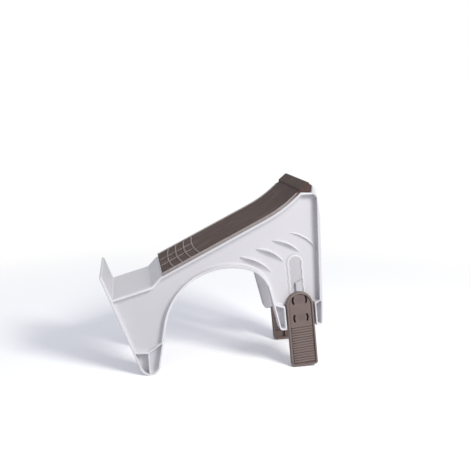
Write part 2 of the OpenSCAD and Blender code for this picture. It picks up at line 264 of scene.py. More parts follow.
def net(loops, chains, spots, keep):
    """Triangles through closed loops, open chains and loose points of the side view."""
    points, edges = [], []
    for line, closed in [(loop, True) for loop in loops] + [(chain, False) for chain in chains]:
        first = len(points)
        points += [Vector(p) for p in line]
        edges += [(i, i + 1) for i in range(first, len(points) - 1)]
        if closed:
            edges.append((len(points) - 1, first))
    points += [Vector(p) for p in spots]
    flat, _, tris = geometry.delaunay_2d_cdt(points, edges, [], 0, 1e-4)[:3]
    flat, tris = np.array([v[:] for v in flat]), np.array(tris)
    tris = tris[keep(flat[tris].mean(1))]
    a, b, c = (flat[tris[:, k]] for k in range(3))
    area = (b[:, 0] - a[:, 0]) * (c[:, 1] - a[:, 1]) - (b[:, 1] - a[:, 1]) * (c[:, 0] - a[:, 0])
    return flat, np.where((area > 0)[:, None], tris, tris[:, ::-1])


def moulded(flat, tris, front, back, bridged=None):
    """A near wall from its front and back depths. Triangles that are bridged have no back;
    the third result is the back edges left open there."""
    count = len(flat)
    if bridged is None:
        bridged = np.zeros(len(tris), bool)
    owner = {(int(t[i]), int(t[(i + 1) % 3])): k for k, t in enumerate(tris) for i in range(3)}
    faces = [tuple(t) for t in tris.tolist()]
    faces += [(c + count, b + count, a + count) for a, b, c in tris[~bridged].tolist()]
    gaps = []
    for (a, b), k in owner.items():
        twin = owner.get((b, a))
        if twin is None:
            faces.append((b, a, a + count, b + count))
            if bridged[k]:
                gaps.append((b + count, a + count))
        elif bridged[twin] and not bridged[k]:
            gaps.append((a + count, b + count))
    depth = np.concatenate([front, back]) - half_w
    verts = np.column_stack([np.tile(flat[:, 0], 2), depth, np.tile(flat[:, 1], 2)])
    return verts, faces, gaps


def piece(name, verts, faces, sharp=32, **measures):
    """A mesh object in metres from points in millimetres, without unused points. Measures
    are numbers for each point that its material reads."""
    used = np.unique(np.concatenate([np.array(f) for f in faces]))
    index = np.full(len(verts), -1)
    index[used] = np.arange(len(used))
    mesh = bpy.data.meshes.new(name)
    mesh.from_pydata((np.array(verts)[used] / 1000).tolist(), [], [[int(index[v]) for v in f] for f in faces])
    for label, numbers in measures.items():
        attribute = mesh.attributes.new(label, "FLOAT", "POINT")
        attribute.data.foreach_set("value", np.asarray(numbers, np.float32)[used])
    mesh.validate()
    mesh.shade_smooth()
    mesh.set_sharp_from_angle(angle=math.radians(sharp))
    made = bpy.data.objects.new(name, mesh)
    scene.collection.objects.link(made)
    return made


# The side view in millimetres: its lines, each [x, z, direction], and the outlines that are
# their corners, each (x, z, radius).
foot_x, foot_r, heel_lean, flank_lean = -73.5, 11.5, 21.5, 9
leg_x, leg_lean, leg_end_r = 106, 6, 4
slider_w, slider_len, slider_corner = 31.2, 88.5, 3.5
stud_h, detent_pitch, detent_r, slot_half_w, positions = 58, 10.6, 7.1, 6.4, 5
leg_z = (slider_w / 2 - slider_corner) * sin(leg_lean) + slider_corner * (1 - cos(leg_lean))
leg_base = stud_h - detent_r - 4.4
heel_line = (foot_x - foot_r * cos(heel_lean), foot_r - foot_r * sin(heel_lean), heel_lean - 90)
flank_line = (foot_x + foot_r * cos(flank_lean), foot_r - foot_r * sin(flank_lean), 90 - flank_lean)
crown_x, crown_z, crown_r, shank_lean = 37, 118, 36, 15.5
crown_line = (crown_x, crown_z, -14)
shank_line = (leg_x - 43, crown_z - crown_r + crown_r * sin(shank_lean), shank_lean - 90)
base_line = (leg_x - leg_base * sin(leg_lean), leg_z + leg_base * cos(leg_lean), leg_lean)
toe_lean, shelf_len = 3, 9.7
toe_line = (leg_x + 23, 0, 90 + toe_lean)
tray_z, tray_pitch, curve_x, curve_r, curve_pitch = 144.5, 27.5, 57, 150, 46
tray_line = (0, tray_z, 180 + tray_pitch)
curve_end = (
    curve_x + curve_r * (sin(curve_pitch) - sin(tray_pitch)),
    tray_z + curve_x * tan(tray_pitch) + curve_r * (cos(tray_pitch) - cos(curve_pitch)),
)
curve_line = (*curve_end, 180 + curve_pitch)
shelf_z = curve_end[1] + 1
toe_stop_x = meet(toe_line, (0, shelf_z, 180))[0] - shelf_len
shelf_line = (toe_stop_x, shelf_z, 180)
toe_stop_line = (toe_stop_x, shelf_z, 270 - toe_lean)
cap_line = (*meet(toe_stop_line, (0, shelf_z + 9, 180)), 180 - 38)
brow_line = (119.2, 180, 99.5)
seat_front = (-70, tray_z - 70 * tan(tray_pitch) - 5.5)
seat_line, step_line = (*seat_front, 180 + 16.7), (*seat_front, 180 + 48)
stop_t, stop_top = 3, 115.5
stop_line = shifted(heel_line, stop_t)
BODY = [
    corner(heel_line, flank_line, foot_r),
    corner(flank_line, crown_line, 73),
    corner(crown_line, shank_line, crown_r),
    corner(shank_line, base_line, leg_end_r),
    corner(base_line, toe_line, leg_end_r),
    corner(toe_line, brow_line, 60),
    corner(brow_line, cap_line, 9),
    corner(cap_line, toe_stop_line, 0.8),
    corner(toe_stop_line, shelf_line, 0.3),
    corner(shelf_line, curve_line, 2),
    corner(curve_line, tray_line, curve_r),
    corner(tray_line, step_line, 3),
    corner(step_line, seat_line, 3),
    corner(seat_line, heel_line, 2),
]
WHOLE = BODY[:-1] + [
    corner(seat_line, stop_line, 1.5),
    corner(stop_line, (0, stop_top, 0), 1.2),
    corner((0, stop_top, 0), heel_line, 1.2),
]
toe_rim_line = shifted(toe_line, 0.7)
PANEL = BODY[:4] + [
    corner(base_line, toe_rim_line, leg_end_r),
    corner(toe_rim_line, shelf_line, 8),
    corner(shelf_line, curve_line, 6),
] + BODY[-4:-1] + [corner(seat_line, heel_line, 5)]


def on_leg(x, y):
    """A point of the side view from its place across and along the leaning leg."""
    return (leg_x + x * cos(leg_lean) - y * sin(leg_lean), leg_z + x * sin(leg_lean) + y * cos(leg_lean))


def leg_frame(points):
    """Places of points across and along the leaning leg."""
    dx, dz = points[:, 0] - leg_x, points[:, 1] - leg_z
    return dx * cos(leg_lean) + dz * sin(leg_lean), dz * cos(leg_lean) - dx * sin(leg_lean)


def slot_loop(out=0):
    """The scalloped slot, a lobe for each place of a stud, some distance outside its edge."""
    r, w = detent_r + out, slot_half_w + out
    lobe = math.degrees(math.acos(w / r))
    side = []
    for k in range(positions + 2):
        low = -90 if k == 0 else -lobe
        high = 90 if k == positions + 1 else lobe
        count = max(3, math.ceil((high - low) / 7))
        for a in np.linspace(low, high, count):
            side.append((r * cos(a), stud_h + k * detent_pitch + r * sin(a)))
    other = [(-x, y) for x, y in reversed(side[1:-1])]
    return [on_leg(x, y) for x, y in side + other]


# Louvres: centre, slope and length of each, the reach of the hollow below its edge, the
# height of the edge, the width of the ridge beyond it, the rise of its curve and where
# along it the painted shade in the hollow is strongest.
LOUVRES = [
    (47.6, 122.4, -27, 39.5, 8.5, 5.6, 2.0, 4.1, -0.13),
    (63.9, 132.4, -26.3, 35.5, 7.5, 5.0, 1.9, 4.0, -0.08),
    (82.6, 142, -24.8, 35, 6, 4.2, 1.8, 3.7, 0.05),
    (103, 146.1, -35.1, 41, 2.4, 2.4, 1.3, 5.2, 0.25),
]


def louvre_edge(along, length, rise):
    """The place of a louvre's curved edge across it."""
    return rise * (1 - (2 * along / length) ** 2)


def louvre_taper(along, length):
    """1 at the middle of a louvre, 0 at its ends and beyond them."""
    return np.clip(1 - (2 * along / length) ** 2, 0, 1)


def ridge_width(ridge, taper):
    """The width of a louvre's ridge beyond its edge."""
    return ridge * taper ** 0.25 + 0.1


def on_louvre(x, z, slope, along, across):
    """A point of the side view from its place along and across a louvre."""
    return (x + along * cos(slope) - across * sin(slope), z + along * sin(slope) + across * cos(slope))


def louvre_relief(points):
    """How far the louvres stand up from the panel, how much painted shade falls in the hollow
    below each edge, and how near points lie to a crest, for its painted highlight."""
    total, scoop, crests = np.zeros((3, len(points)))
    for x, z, slope, length, reach, crest, ridge, rise, painted_shade in LOUVRES:
        dx, dz = points[:, 0] - x, points[:, 1] - z
        along, across = dx * cos(slope) + dz * sin(slope), dz * cos(slope) - dx * sin(slope)
        taper = louvre_taper(along, length)
        off = across - louvre_edge(along, length, rise)
        height = crest * taper ** 0.7 * (1 - 0.5 * along / length)
        below = np.clip(1 + off / (reach * taper ** 0.7 + 0.3), 0, 1) ** 2.1
        above = np.clip(1 - off / ridge_width(ridge, taper), 0, 1) ** 1.3
        total = np.maximum(total, height * np.where(off < 0, below, above))
        # Painted shade below the edge, strongest at one place along it, and a painted highlight along the
        # crest.
        most = np.exp(-(((along / length - painted_shade) / 0.25) ** 2))
        scoop = np.maximum(scoop, most * taper ** 0.5 * np.clip(-off / 0.4, 0, 1) * below ** 0.6)
        crests = np.maximum(crests, np.clip(1 - np.abs(off - 0.5) / 0.9, 0, 1) * taper ** 0.5)
    return total, scoop, crests


channel_half_w, channel_top = slider_w / 2 + 1.9, 56
foot_rib_z, foot_slope, foot_rib_x, foot_rib_lean = 27.5, 35, foot_x - 1.4, 0.05
leg_cell_top, leg_slope = leg_base + 27.5, 24
foot_side_x, leg_side_x = -30, 40


def foot_under(points, lower):
    """Distance below the cross rib and the slanting rib of the foot."""
    x, z = points[:, 0] - foot_rib_x, foot_rib_z - lower - points[:, 1]
    return np.maximum(z, (z + x * tan(foot_slope)) * cos(foot_slope))


def leg_under(points, off, lower):
    """Distance inside the cells' region beside the slider."""
    x, y = leg_frame(points)
    top = (leg_cell_top - lower + (np.abs(x) - off) * tan(leg_slope) - y) * cos(leg_slope)
    return np.minimum(np.abs(x) - off, np.minimum(top, 90 - y))


body_loop = divided(rounded(BODY), 1.5)
panel_loop = divided(rounded(PANEL, rim_t), 1.5)
outline_at = np.array(body_loop)


def along_outline(plain, *zones):
    """A number for each stretch of the outline: plain, or a zone's own in its box, smoothed."""
    measure = np.full(len(body_loop), float(plain))
    for (x0, z0, x1, z1), size in zones:
        measure[((outline_at > (x0, z0)) & (outline_at < (x1, z1))).all(1)] = size
    soft = np.exp(-0.5 * (np.arange(-12, 13) / 4) ** 2)
    return np.convolve(np.tile(measure, 3), soft / soft.sum(), "same")[len(measure):2 * len(measure)]


# Along the outline: the radius of the cove behind the rim, how strong the painted highlight
# on the rim is, and the radii of its inner lip and its outer edge.
tray_zone, cap_zone = (-62, 112, 98, 206), (104, 196, 140, 230)
cove_along = along_outline(
    4.8, ((-140, -9, -72, 84), 1.6), (tray_zone, 7.4), ((-72, 8, 80, 128), 2.8), ((-62, 112, -34, 130), 7.4),
    ((114, 40, 140, 90), 3.4), ((114, 90, 140, 125), 4.3), ((114, 125, 140, 160), 5.6),
    ((114, 160, 140, 198), 6.4), ((94, 198, 140, 220), 7), ((70, 40, 118, 62), 3),
)
rim_highlight_along = along_outline(1, (tray_zone, 0.1), ((114, 60, 140, 198), 0.05), (cap_zone, 0.1))
lip_along = along_outline(0.3, (cap_zone, 1.2))
round_along = along_outline(0.7, (cap_zone, 2.6))


def beside_slot(across, up):
    """1 along the heel side of the slot, fading out over its top and above its foot."""
    return np.clip(0.5 - across / 5, 0, 1) * np.clip((up - 64) / 5, 0, 1)


def shell_depths(points):
    """Depth of the side wall's front and back behind its rim."""
    d, near = inside(points, body_loop)
    within, _ = inside(points, panel_loop)
    from_edge, _ = inside(points, whole_loop)
    slot, _ = inside(points, slot_loop())
    across, up = leg_frame(points)
    at_foot, at_leg = points[:, 0] < foot_side_x, points[:, 0] > leg_side_x
    bead = np.clip(1.25 - np.abs(-slot - 1.2), 0, 1) * 0.35
    moat = np.exp(-(((-slot - slot_moat) / 0.55) ** 2)) * 0.55 * beside_slot(across, up)
    raised = heel_raise * np.clip((20 - points[:, 0]) / 60, 0, 1)
    slot_edge = edge_round(-slot, 0.7) * (slot <= 0)
    floor_at = panel_at - raised - louvre_relief(points)[0] - bead + moat + slot_edge
    in_channel = (np.abs(across) < channel_half_w) & (up < channel_top)
    cove = np.minimum(cove_along[near], floor_at - 0.2)
    rim = wall(within, lip_along[near], cove, floor_at)
    rim = np.where(in_channel, floor_at, rim)
    foot_block = np.where(at_foot, foot_under(points, 0), -99)
    block = np.where(at_leg, leg_under(points, channel_half_w, 0), foot_block)
    beside = points[:, 0] - foot_rib_x - foot_rib_lean * (foot_rib_z - points[:, 1])
    cell_left = np.minimum(-rib_t / 2 - beside, foot_rib_z - rib_t - points[:, 1])
    cell_right = np.minimum(beside - rib_t / 2, foot_under(points, rib_t))
    on_right = at_foot & (cell_right > cell_left)
    foot_cell = np.where(on_right, cell_right, cell_left)
    cell = np.where(at_leg, leg_under(points, channel_half_w + rib_t, rib_t), foot_cell)
    cell_at = np.where(on_right, toe_cell_at, np.where(at_leg, leg_cell_at, heel_cell_at))
    cell_wall = wall(d - cell_rim_t, 0.25, np.where(on_right, toe_cell_cove, 1), cell_at)
    rib = np.minimum(rim, wall(-block, 0.25, 1.3, floor_at))
    front = np.where(block >= 0, np.minimum(wall(cell, 0.25, 1, cell_at), cell_wall), rib)
    front = front + edge_round(from_edge, round_along[near])
    back = wall_back - raised
    back = back + (cell_back - back) * np.clip(block / 0.25, 0, 1)
    return front, back - edge_round(from_edge, 0.5)


whole_loop = divided(rounded(WHOLE), 2.5)
heel_apron_z, toe_apron_z, apron_drop = 83, 172, 8.4
low_line = shifted(tray_line, apron_drop)
apron_heel, apron_toe = meet(low_line, (0, heel_apron_z, 0)), meet(low_line, (0, toe_apron_z, 0))


def in_deck(points):
    """Whether points belong to the tray, the aprons or the heel stop."""
    x, z = points[:, 0], points[:, 1]
    line = np.interp(x, [apron_heel[0], apron_toe[0]], [heel_apron_z, toe_apron_z])
    return (z > line) & (inside(points, body_loop)[0] < deck_t)


def kept(points):
    """Whether points lie on the wall and outside its slot."""
    return (inside(points, whole_loop)[0] > 0) & (inside(points, slot_loop())[0] < 0)


# Lines of the net lie along every steep or curved change of depth, so that it stays crisp.
loops = [whole_loop, slot_loop()] + [slot_loop(out) for out in (0.2, 0.7, 1.4, 2.1, 2.6, 3.4, 4.6)]
loops += [divided(rounded(WHOLE, inset), 4) for inset in (0.06, 0.24, 0.45, 0.7)]
loops += [divided(rounded(BODY, inset), 4) for inset in (cell_rim_t, cell_rim_t + draft, deck_t)]
loops += [divided(rounded(PANEL, inset), 4) for inset in (rim_t - 0.3, rim_t - 0.1, rim_t, deck_t)]
loops += [divided(rounded(PANEL, inset), 2.5) for inset in (3.2, 3.8, 4.6, 5.6, 6.8, 8.3, 9.9)]
chains = [[(-140, heel_apron_z), (-88, heel_apron_z)], [(110, toe_apron_z), (140, toe_apron_z)]]
panel_side, cell_side = (-0.25, 0, draft, 0.7, 1.5), (0.25, 0, -draft, -0.6, -1.2)
for base, offs in ((foot_rib_z, panel_side), (foot_rib_z - rib_t, cell_side)):
    for off in offs:
        turn_x = foot_rib_x + (off - off / cos(foot_slope)) / tan(foot_slope)
        end = (-36, base + (-36 - foot_rib_x) * tan(foot_slope) + off / cos(foot_slope))
        chains.append(divided([(-98, base + off), (turn_x, base + off), end], 2, False))
for side in (-1, 1):
    for off in (-0.25, 0, draft, 0.6, 1.2):
        face_x = foot_rib_x + side * (rib_t / 2 + off)
        upright = [(face_x + foot_rib_lean * (foot_rib_z - z), z) for z in (-1, 26)]
        chains.append(divided(upright, 2, False))
    for base, lower, offs in ((channel_half_w, 0, panel_side), (channel_half_w + rib_t, rib_t, cell_side)):
        for off in offs:
            turn_y = leg_cell_top - lower - off * tan(leg_slope) + off / cos(leg_slope)
            slope_end = (base - off + 24, turn_y + 24 * tan(leg_slope))
            bent = [(base - off, leg_base - 9), (base - off, turn_y), slope_end]
            chains.append([on_leg(side * x, y) for x, y in divided(bent, 2, False)])
spots = spread((-110, 2), (128, 212), 3)
for x, z, slope, length, reach, _, ridge, rise, _ in LOUVRES:
    grid = spread((-length / 2, -max(reach, 3)), (length / 2, rise + 2.8), 0.75)
    spots += [on_louvre(x, z, slope, *place) for place in grid]
    for off, share in ((-0.12, 0), (0, 0), (0.25, 0), (0, 0.55), (0, 0.85), (0.03, 1), (0.4, 1)):
        chain = []
        for a in np.linspace(-0.49, 0.49, 60) * length:
            beyond = off + share * ridge_width(ridge, louvre_taper(a, length))
            chain.append(on_louvre(x, z, slope, a, louvre_edge(a, length, rise) + beyond))
        chains.append(chain)
spots += spread((104, 196), (132, 216), 0.7)
flat, tris = net(loops, chains, spots, kept)
front, back = shell_depths(flat)
bridged = in_deck(flat[tris].mean(1))
near_verts, near_faces, gaps = moulded(flat, tris, front, back, bridged)
count = len(near_verts)
far_faces = [tuple(v + count for v in reversed(f)) for f in near_faces]
deck_faces = [(a, b, b + count, a + count) for a, b in gaps]

# Two measures that the material reads: a painted highlight on the rims, the slot's bead and
# the louvre crests, and painted shade in the toe cove, beside the slot and below the louvres.
_, stretch = inside(flat, body_loop)
from_rim, _ = inside(flat, panel_loop)
slot_off, _ = inside(flat, slot_loop())
leg_across, leg_up = leg_frame(flat)
# Painted highlight: the rims' fronts, the bead round the slot and the louvre crests are painted paler, as if
# lit.
by_slot = np.clip(1.6 - np.abs(-slot_off - 1.1), 0, 1) * (leg_up > 60)
_, scoops, crests = louvre_relief(flat)
rim_highlight = np.clip(1.15 - front / 1.1, 0, 1) * rim_highlight_along[stretch]
edge = np.maximum.reduce([rim_highlight, 0.45 * by_slot, 0.45 * crests])
# Painted shade: the toe-side cove behind the rim, the line of the moat beside the slot and the hollows below
# the louvre edges are painted darker.
toe_side = np.interp(flat[:, 0], [95, 112], [0, 1]) * np.clip((flat[:, 1] - 60) / 20, 0, 1)
toe_reach = np.interp(flat[:, 1], [60, 200], [2.1, 4])
behind_rim = np.clip(1.15 - np.abs(from_rim - 1.1) / toe_reach, 0, 1) * (from_rim > 0)
toe_cove = toe_side * behind_rim * (flat[:, 1] < 206)
slot_line = np.exp(-(((-slot_off - slot_moat) / 0.6) ** 2)) * beside_slot(leg_across, leg_up)
hollow = np.maximum.reduce([toe_cove, 0.6 * slot_line, 0.85 * scoops])
bare = np.zeros(len(flat))
shell = piece(
    "shell_moulding", np.concatenate([near_verts, near_verts * (1, -1, 1)]),
    near_faces + far_faces + deck_faces,
    edge=np.tile(np.concatenate([edge, bare]), 2), hollow=np.tile(np.concatenate([hollow, bare]), 2),
)
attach(shell, "stand")
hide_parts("shell")


def satin(name, colour, paler, wear_and_highlight, roughness, grain, flow_scale=9):
    """Moulded plastic: an even colour with faint flow marks and a fine spark texture, painted
    paler as a highlight where the piece's edge measure is high and darker as painted shade
    where its hollow measure is."""
    paint = Paint(name)
    place = paint.node("ShaderNodeTexCoord", {}, {}, "Object")
    cloud = paint.noise(place, flow_scale, 3, 0.55)
    speck = paint.noise(place, 900, 2, 0.6)
    drawn = paint.node("ShaderNodeMapping", {}, {"Vector": place, "Scale": (40, 40, 260)})
    smear = paint.noise(drawn, 1, 4, 0.6)
    rubbing_and_highlight = paint.node("ShaderNodeAttribute", {"attribute_name": "edge"}, {}, "Fac")
    painted_shade = paint.node("ShaderNodeAttribute", {"attribute_name": "hollow"}, {}, "Fac")
    # Painted highlight where the edge measure is high: paler in patches, a little rougher.
    highlight_mask = rubbing_and_highlight * (smear.clamped(0.35, 0.65) * 0.4 + 0.6)
    tint = paint.blend(cloud.clamped(0.3, 0.7), colour, paler)
    tint = paint.blend(highlight_mask, tint, wear_and_highlight)
    # Painted shade where the hollow measure is high: about a third darker, a little rougher.
    tint = paint.blend(painted_shade * (smear.clamped(0.3, 0.7) * 0.3 + 0.7), tint, [c * 0.68 for c in colour])
    tint = paint.blend((speck - 0.5) * 0.10 + 0.05, tint, [c * 0.8 for c in colour])
    rough = roughness + (cloud - 0.5) * 0.12 + highlight_mask * 0.1 + painted_shade * 0.12
    bump = paint.node("ShaderNodeBump", {}, {
        "Strength": grain, "Distance": 0.0004, "Height": speck * 0.6 + paint.noise(place, 320, 3, 0.6) * 0.6})
    skin = paint.node("ShaderNodeBsdfPrincipled", {}, {
        "Base Color": tint, "Roughness": rough, "Normal": bump, "IOR": 1.49, "Specular IOR Level": 0.45})
    paint.node("ShaderNodeOutputMaterial", {}, {"Surface": skin})
    return paint.owner


polypropylene = satin(
    "light_grey_polypropylene", (0.70, 0.69, 0.715), (0.735, 0.725, 0.75), (0.92, 0.91, 0.93), 0.42, 0.12)
shell.data.materials.append(polypropylene)


class Growth:
    """A Geometry Nodes tree with named inputs, used once and turned into a plain mesh."""

    node = Paint.node

    def __init__(self, name, **sizes):
        self.tree = bpy.data.node_groups.new(name, "GeometryNodeTree")
        self.sizes = sizes
        kinds = {float: "NodeSocketFloat", int: "NodeSocketInt", tuple: "NodeSocketVector"}
        for label, size in sizes.items():
            self.tree.interface.new_socket(label, in_out="INPUT", socket_type=kinds[type(size)])
        self.tree.interface.new_socket("Geometry", in_out="OUTPUT", socket_type="NodeSocketGeometry")
        self.given = self.tree.nodes.new("NodeGroupInput")

    def __getitem__(self, label):
        return Value(self, self.given.outputs[label])

    def moved(self, shape, **by):
        """A shape moved along the axes that are named."""
        offset = self.node("ShaderNodeCombineXYZ", {}, by)
        return self.node("GeometryNodeTransform", {}, {"Geometry": shape, "Translation": offset})

    def straight(self, axis):
        """A line of this tree's Length along an axis, centred."""
        start, end = [
            self.node("ShaderNodeCombineXYZ", {}, {axis: self["Length"] * half}) for half in (-0.5, 0.5)]
        return self.node("GeometryNodeCurvePrimitiveLine", {}, {"Start": start, "End": end})

    def bar(self, path):
        """A bar along a path, with a rounded section of this tree's Width and Height."""
        section = self.node("GeometryNodeCurvePrimitiveQuadrilateral", {}, {
            "Width": self["Width"], "Height": self["Height"]})
        section = self.node("GeometryNodeFilletCurve", {"mode": "POLY"}, {
            "Curve": section, "Radius": 0.0005, "Count": 3})
        return self.node("GeometryNodeCurveToMesh", {}, {
            "Curve": path, "Profile Curve": section, "Fill Caps": True})

    def row(self, shape):
        """Copies of a shape from First on, a Step apart, each turned by Lean."""
        places = self.node("GeometryNodeMeshLine", {"mode": "OFFSET"}, {
            "Count": self["Count"], "Start Location": self["First"], "Offset": self["Step"]})
        lean = self.node("FunctionNodeEulerToRotation", {}, {"Euler": self["Lean"]})
        return self.node("GeometryNodeInstanceOnPoints", {}, {
            "Points": places, "Instance": shape, "Rotation": lean})

    def grown(self, name, geometry_out, material):
        """The finished mesh object of this tree."""
        plain = self.node("GeometryNodeRealizeInstances", {}, {"Geometry": geometry_out})
        dressed = self.node("GeometryNodeSetMaterial", {}, {"Geometry": plain, "Material": material})
        out = self.tree.nodes.new("NodeGroupOutput")
        self.tree.links.new(dressed.socket, out.inputs["Geometry"])
        host = bpy.data.objects.new(name + "_host", bpy.data.meshes.new(name + "_host"))
        scene.collection.objects.link(host)
        grow = host.modifiers.new("grow", "NODES")
        grow.node_group = self.tree
        for item in self.tree.interface.items_tree:
            if item.in_out == "INPUT":
                grow[item.identifier] = self.sizes[item.name]
        finished = host.evaluated_get(bpy.context.evaluated_depsgraph_get())
        plain_mesh = bpy.data.meshes.new_from_object(finished)
        host.modifiers.remove(grow)
        bpy.data.objects.remove(host)
        plain_mesh.name = name
        plain_mesh.shade_smooth()
        plain_mesh.set_sharp_from_angle(angle=math.radians(40))
        made = bpy.data.objects.new(name, plain_mesh)
        scene.collection.objects.link(made)
        return made


def up_tray(along, off=0.0, across=0.0):
    """A place in metres from its place along, above and across the flat of the tray."""
    x = along * cos(tray_pitch) - off * sin(tray_pitch)
    return (x, across, tray_z / 1000 + along * sin(tray_pitch) + off * cos(tray_pitch))


def up_step(step):
    """A step in metres along the flat of the tray."""
    return (step * cos(tray_pitch), 0.0, step * sin(tray_pitch))


tray_lean = (0.0, -math.radians(tray_pitch), 0.0)

# Four stiffening ribs cross the shell under the tray, moulded in one with it.
ribs = Growth(
    "tray_ribs", Count=4, First=up_tray(-0.03625), Step=up_step(0.0275), Lean=tray_lean,
    Width=0.0016, Height=0.008, Length=0.0862, Drop=0.0048,
)
tray_bar = ribs.moved(ribs.bar(ribs.straight("Y")), Z=ribs["Drop"] * -1)
tray_ribs = ribs.grown("tray_ribs", ribs.row(tray_bar), polypropylene)
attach(tray_ribs, "stand")


# ---- Grip mat -----------------------------------------------------------------------
# A soft dark elastomer mat pressed onto the tray, with raised side lips, grip ribs near its
# lower end and a thick bar at its upper end that stops the boot's toe. Four barbed pegs
# moulded under it snap through the tray.
mat_half_w, mat_t, lip_h, lip_w, lip_top = 52.7, 2.2, 1.2, 2, 50.2
lip_end_x = curve_end[0] - 3
front_line = shifted((*meet(tray_line, step_line), 90 + tray_pitch), -4)
bar_corner = (curve_end[0] - 0.8, shelf_z + 4)
top_curve = shifted(curve_line, -mat_t)
bar_foot = (bar_corner[0], bar_corner[1] - 3, 90)
MAT = [
    corner(front_line, tray_line, 0.9),
    corner(tray_line, curve_line, curve_r),
    corner(curve_line, shelf_line, 1.2),
    corner(shelf_line, toe_stop_line, 0.9),
    (*meet(toe_stop_line, (0, shelf_z + 7, 0)), 0.9),
    (toe_stop_x - 4, shelf_z + 12.6, 2.2),
    (*bar_corner, 2),
    corner(bar_foot, top_curve, 1),
    corner(top_curve, shifted(tray_line, -mat_t), curve_r - mat_t),
    corner(shifted(tray_line, -mat_t), front_line, 1),
]


def lofted(rings):
    """Quads through rings of points with the same count, closed at both ends."""
    count = len(rings[0])
    verts = [p for ring in rings for p in ring]
    faces = []
    for k in range(len(rings) - 1):
        for i in range(count):
            j = (i + 1) % count
            faces.append((k * count + i, k * count + j, (k + 1) * count + j, (k + 1) * count + i))
    faces.append(tuple(reversed(range(count))))
    faces.append(tuple(range(len(verts) - count, len(verts))))
    return verts, faces


def rounded_stations(low, high, radius, steps=5):
    """Places from low to high with the inset of each, quarter-rounded at both ends."""
    turns = [math.pi / 2 * k / steps for k in range(steps + 1)]
    lows = [(low + radius * (1 - math.cos(t)), radius * (1 - math.sin(t))) for t in turns]
    return lows + [(low + high - place, inset) for place, inset in reversed(lows)]


tray_out = (-sin(tray_pitch), cos(tray_pitch))
curve_centre = (
    curve_x - curve_r * sin(tray_pitch), tray_z + curve_x * tan(tray_pitch) + curve_r * cos(tray_pitch)
)


def inside_top(x, z):
    """1 on the mat's upper face short of the toe bar, 0 elsewhere."""
    if x > lip_end_x:
        return 0
    if x > curve_x:
        up = curve_r - math.hypot(x - curve_centre[0], z - curve_centre[1])
    else:
        up = (z - tray_z - x * tan(tray_pitch)) * cos(tray_pitch)
    return 1 if up > mat_t * 0.6 else 0


def mat_ring(y, inset):
    """The mat's closed side view at one place across it, with its lips."""
    ring = []
    lip = np.clip((abs(y) - (mat_half_w - lip_w)) / 0.5, 0, 1)
    rise = lip_h * lip * lip * (3 - 2 * lip)
    for x, z in divided(rounded(MAT, inset, 3), 6):
        lifted = rise * inside_top(x, z)
        ring.append((x + tray_out[0] * lifted, y, z + tray_out[1] * lifted))
    return ring


def pale_edge(x, y, z):
    """The mat's painted highlight: 1 on the raised lips, less on the mat's sides below them, 0 elsewhere."""
    on_side = abs(y) > mat_half_w - 0.8 and x < lip_end_x
    return max(0.75 * on_side, np.clip((abs(y) - lip_top) / 0.5, 0, 1) * inside_top(x, z))


edges_y = rounded_stations(-mat_half_w, mat_half_w, 0.7)
half = len(edges_y) // 2
inner_y = [-50.9, -50.75, -50.6, -50.45, -50.3, -50.1, -40, -20, 0]
inner_y += [-y for y in reversed(inner_y[:-1])]
stations = edges_y[:half] + [(y, 0) for y in inner_y] + edges_y[half:]
verts, faces = lofted([mat_ring(y, inset) for y, inset in stations])
pale = [pale_edge(*p) for p in verts]
mat_body = piece("grip_mat_body", verts, [f[::-1] for f in faces], 35, edge=pale)


def elastomer(name, colour, paler, wear_and_highlight):
    """Soft moulded rubber: dull, finely grained, a little paler in streaks where soles scrape it,
    and painted pale grey as a highlight where the piece's edge measure is high."""
    paint = Paint(name)
    place = paint.node("ShaderNodeTexCoord", {}, {}, "Object")
    cloud = paint.noise(place, 22, 4, 0.6)
    grain = paint.noise(place, 1400, 2, 0.6)
    drawn = paint.node("ShaderNodeMapping", {}, {"Vector": place, "Scale": (30, 120, 30)})
    rubbing_and_highlight = paint.noise(drawn, 1, 5, 0.65).clamped(0.5, 0.72)
    mottle = paint.noise(place, 260, 2, 0.5)
    lip = paint.node("ShaderNodeAttribute", {"attribute_name": "edge"}, {}, "Fac")
    patchy = cloud.clamped(0.35, 0.65) * 0.5 + mottle.clamped(0.35, 0.65) * 0.5
    tint = paint.blend(patchy, colour, paler)
    tint = paint.blend(rubbing_and_highlight * 0.35, tint, wear_and_highlight)
    # Painted highlight: the mat's lips and sides are painted pale grey, as if lit.
    tint = paint.blend(lip * (mottle * 0.4 + 0.6), tint, (0.44, 0.40, 0.39))
    bump = paint.node("ShaderNodeBump", {}, {
        "Strength": 0.35, "Distance": 0.0004, "Height": grain * 0.7 + paint.noise(place, 420, 3, 0.6) * 0.5})
    skin = paint.node("ShaderNodeBsdfPrincipled", {}, {
        "Base Color": tint, "Roughness": 0.68 + (cloud - 0.5) * 0.2 - rubbing_and_highlight * 0.1, "Normal": bump,
        "IOR": 1.5, "Specular IOR Level": 0.22})
    paint.node("ShaderNodeOutputMaterial", {}, {"Surface": skin})
    return paint.owner


rubber = elastomer("dark_elastomer", (0.060, 0.034, 0.028), (0.082, 0.048, 0.041), (0.15, 0.11, 0.10))
# A paler elastomer for the grip and lane ribs.
pale_rubber = elastomer(
    "pale_elastomer", (0.26, 0.21, 0.195), (0.34, 0.28, 0.26), (0.43, 0.37, 0.35))
mat_body.data.materials.append(rubber)
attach(mat_body, "stand")
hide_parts("grip_mat")

